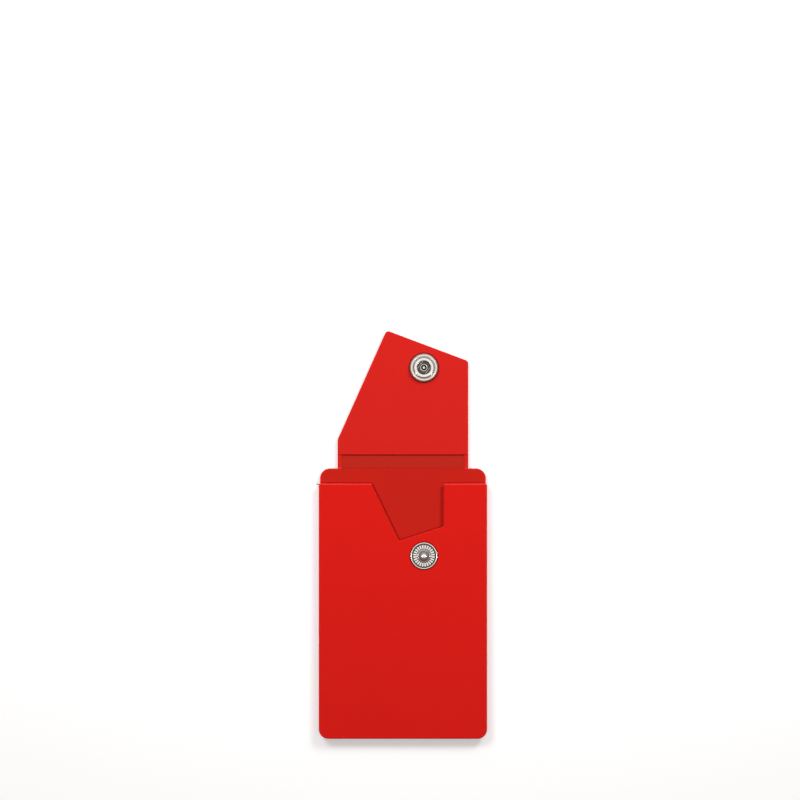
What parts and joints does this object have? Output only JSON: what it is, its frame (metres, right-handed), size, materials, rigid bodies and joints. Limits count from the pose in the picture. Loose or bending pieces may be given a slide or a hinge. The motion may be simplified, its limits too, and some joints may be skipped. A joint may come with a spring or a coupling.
{
  "type": "stick on phone card holder",
  "caption": "Flat silicone card pocket with an adhesive back, a thumb notch and a folding flap shut by a press snap.",
  "frame": {"origin": "centre of the adhesive pad's sticky face", "axes": "+X to the right seen from the front, +Y from the pocket towards the tip of the open flap, +Z out of the pocket's front, away from the phone"},
  "size_m": [0.0611, 0.1458, 0.0068],
  "materials": {
    "silicone": "soft matte",
    "foam_tape": "satin liner",
    "snap_metal": "bright nickel plate",
    "spring_wire": "drawn wire"
  },
  "bodies": {
    "holder": {"pocket_sleeve": "silicone", "adhesive_pad": "foam_tape", "snap_stud": "snap_metal", "stud_post": "snap_metal"},
    "strip": {"fold_strip": "silicone"},
    "flap": {"closing_flap": "silicone", "snap_socket": "snap_metal", "socket_spring": "spring_wire", "snap_cap": "snap_metal"}
  },
  "joints": [
    {"name": "lower_fold", "type": "hinge", "parent": "holder", "child": "strip", "pos_m": [0, 0.0483, 0.0022], "axis": [1, 0, 0], "range_deg": [0, 90], "stiffness_Nm_per_rad": 0.001},
    {"name": "upper_fold", "type": "hinge", "parent": "strip", "child": "flap", "pos_m": [0, 0.0533, 0.0022], "axis": [1, 0, 0], "range_deg": [0, 90], "stiffness_Nm_per_rad": 0.001, "deforming": ["socket_spring"]}
  ],
  "couplings": [
    {"joint": "upper_fold", "follows": "lower_fold", "ratio": 1}
  ]
}
